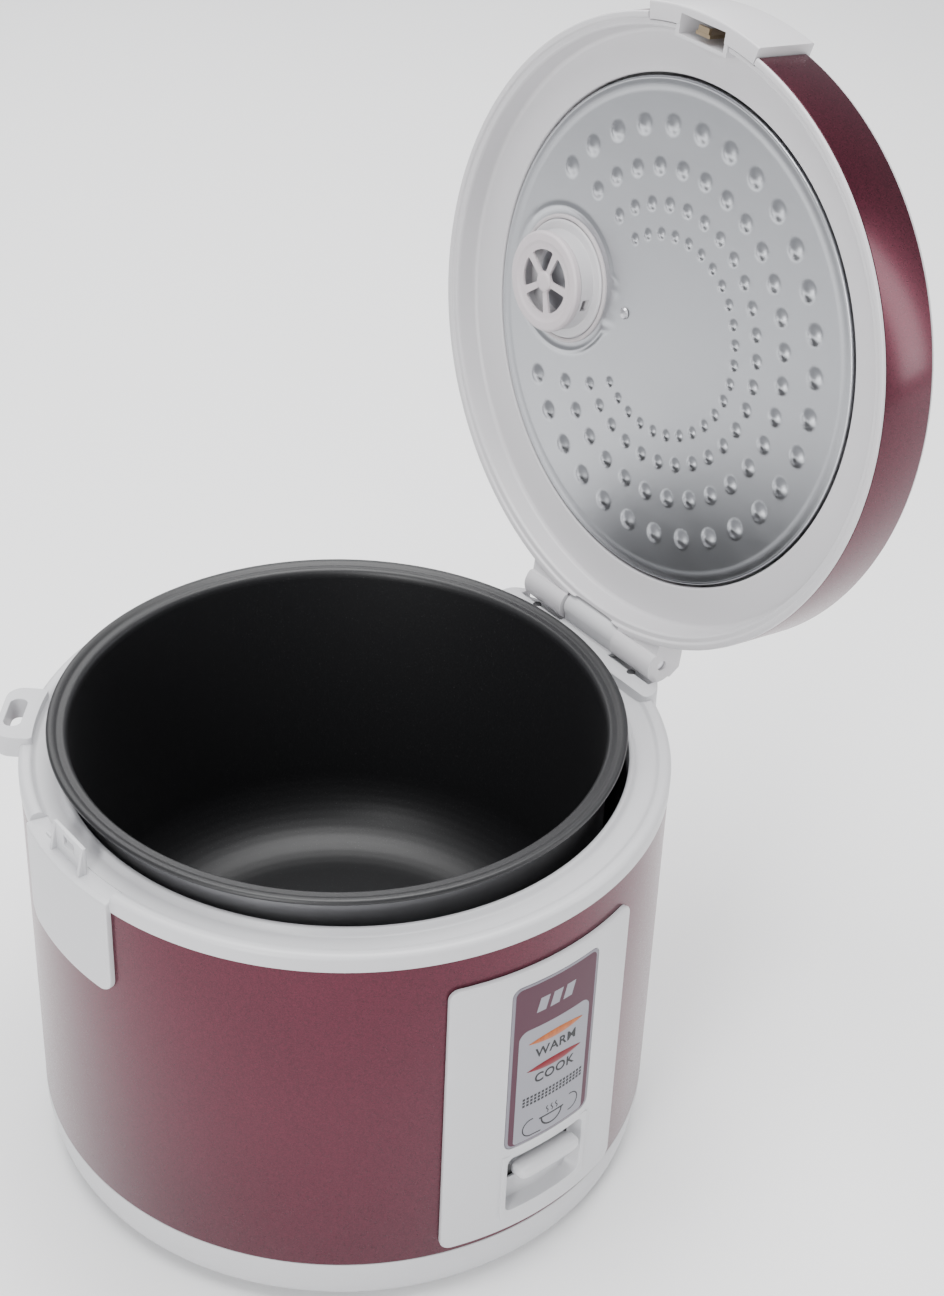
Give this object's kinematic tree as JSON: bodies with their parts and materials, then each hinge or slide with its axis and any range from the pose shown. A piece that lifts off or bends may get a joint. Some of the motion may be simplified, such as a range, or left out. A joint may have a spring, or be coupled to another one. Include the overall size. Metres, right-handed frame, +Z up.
{
  "type": "rice cooker",
  "caption": "Jar rice cooker with a burgundy drum, white base, collar and front panel, a black inner pot, and a side-hinged lid standing open.",
  "frame": {"origin": "centre of the flat underside of the base pan", "axes": "+Z up; -Y is the control panel; +X is the lid hinge; -X is the latch"},
  "size_m": [0.3282, 0.2739, 0.4651],
  "materials": {
    "white_plastic": "satin gloss, moulded",
    "burgundy_paint": "metallic burgundy lacquer, satin gloss",
    "aluminium": "satin, stamped",
    "cast_aluminium": "cast, machined top",
    "black_coating": "non-stick coating, satin; satin grey metal outside",
    "zinc_steel": "zinc plated",
    "latch_metal": "passivated, warm grey",
    "grey_rubber": "matte",
    "silicone": "translucent, matte",
    "frosted_plastic": "frosted, slightly pink",
    "dark_plastic": "matte",
    "cream_plastic": "matte",
    "heater_foil": "foil faced band",
    "ferrite": "matte ceramic",
    "label_foil": "silver foil with printed burgundy field",
    "warm_lens": "translucent amber",
    "cook_lens": "translucent red",
    "neon_glass": "clear",
    "circuit_board": "solder mask",
    "fuse_sleeve": "woven sleeve"
  },
  "bodies": {
    "housing": {"base_pan": "white_plastic", "control_panel": "white_plastic", "cook_lamp": "neon_glass", "cook_lens": "cook_lens", "foot_1": "grey_rubber", "foot_2": "grey_rubber", "foot_3": "grey_rubber", "foot_4": "grey_rubber", "foot_screw_1": "zinc_steel", "foot_screw_2": "zinc_steel", "foot_screw_3": "zinc_steel", "foot_screw_4": "zinc_steel", "heating_plate": "cast_aluminium", "hinge_pin": "zinc_steel", "inlet_pin_earth": "zinc_steel", "inlet_pin_live": "zinc_steel", "inlet_pin_neutral": "zinc_steel", "inner_chamber": "aluminium", "inner_pot": "black_coating", "keep_warm_heater": "heater_foil", "lamp_board": "circuit_board", "lever_bracket": "zinc_steel", "lever_pivot_pin": "zinc_steel", "micro_switch": "dark_plastic", "outer_shell": "burgundy_paint", "panel_label": "label_foil", "plate_leg_1": "zinc_steel", "plate_leg_2": "zinc_steel", "plate_leg_3": "zinc_steel", "power_inlet": "dark_plastic", "terminal_block": "cream_plastic", "thermal_fuse": "fuse_sleeve", "thermostat_bracket": "zinc_steel", "upper_collar": "white_plastic", "warm_lamp": "neon_glass", "warm_lens": "warm_lens"},
    "lid": {"lid_frame": "white_plastic", "lid_band": "burgundy_paint", "lid_cover": "white_plastic", "lid_inner_plate": "aluminium", "lid_gasket": "silicone", "plate_rivet": "zinc_steel", "steam_duct": "silicone", "steam_vent": "white_plastic", "latch_housing": "white_plastic", "latch_pin": "zinc_steel", "latch_spring": "zinc_steel", "hinge_spring": "zinc_steel"},
    "latch_button": {"latch_button": "white_plastic"},
    "latch_hook": {"latch_hook": "latch_metal"},
    "steam_valve": {"steam_valve_body": "white_plastic", "steam_valve_cap": "frosted_plastic"},
    "cook_switch": {"cook_switch": "white_plastic"},
    "switch_lever": {"switch_lever": "zinc_steel"},
    "magnet": {"lifting_magnet": "ferrite", "magnet_rod": "zinc_steel"},
    "thermostat": {"thermostat_cup": "aluminium", "thermostat_ferrite": "ferrite", "thermostat_spring": "zinc_steel"}
  },
  "joints": [
    {"name": "lid_hinge", "type": "hinge", "parent": "housing", "child": "lid", "pos_m": [0.1337, 0, 0.1941], "axis": [0, -1, 0], "range_deg": [0, 97.5]},
    {"name": "latch_press", "type": "slide", "parent": "lid", "child": "latch_button", "axis": [-0.9914, 0, 0.1305], "range_m": [0, 0.0015], "stiffness_N_per_m": 400},
    {"name": "latch_turn", "type": "hinge", "parent": "lid", "child": "latch_hook", "pos_m": [0.17901, 0, 0.441], "axis": [0, -1, 0], "range_deg": [0, 6.9]},
    {"name": "valve_pull", "type": "slide", "parent": "lid", "child": "steam_valve", "axis": [-0.9914, 0, 0.1305], "range_m": [0, 0.014]},
    {"name": "switch_press", "type": "slide", "parent": "housing", "child": "cook_switch", "axis": [0, 0, -1], "range_m": [0, 0.0045]},
    {"name": "lever_turn", "type": "hinge", "parent": "housing", "child": "switch_lever", "pos_m": [0.00262, -0.07495, 0.015], "axis": [0.9994, 0.0349, 0], "range_deg": [0, 5.2]},
    {"name": "magnet_lift", "type": "slide", "parent": "housing", "child": "magnet", "axis": [0, 0, 1], "range_m": [0, 0.0064]},
    {"name": "thermostat_travel", "type": "slide", "parent": "housing", "child": "thermostat", "axis": [0, 0, -1], "range_m": [0, 0.002], "stiffness_N_per_m": 600, "deforming": ["thermostat_spring"]}
  ],
  "couplings": [
    {"joint": "latch_turn", "follows": "latch_press", "rad_per_m": 80},
    {"joint": "lever_turn", "follows": "switch_press", "rad_per_m": 20},
    {"joint": "magnet_lift", "follows": "switch_press", "ratio": 1.4}
  ]
}
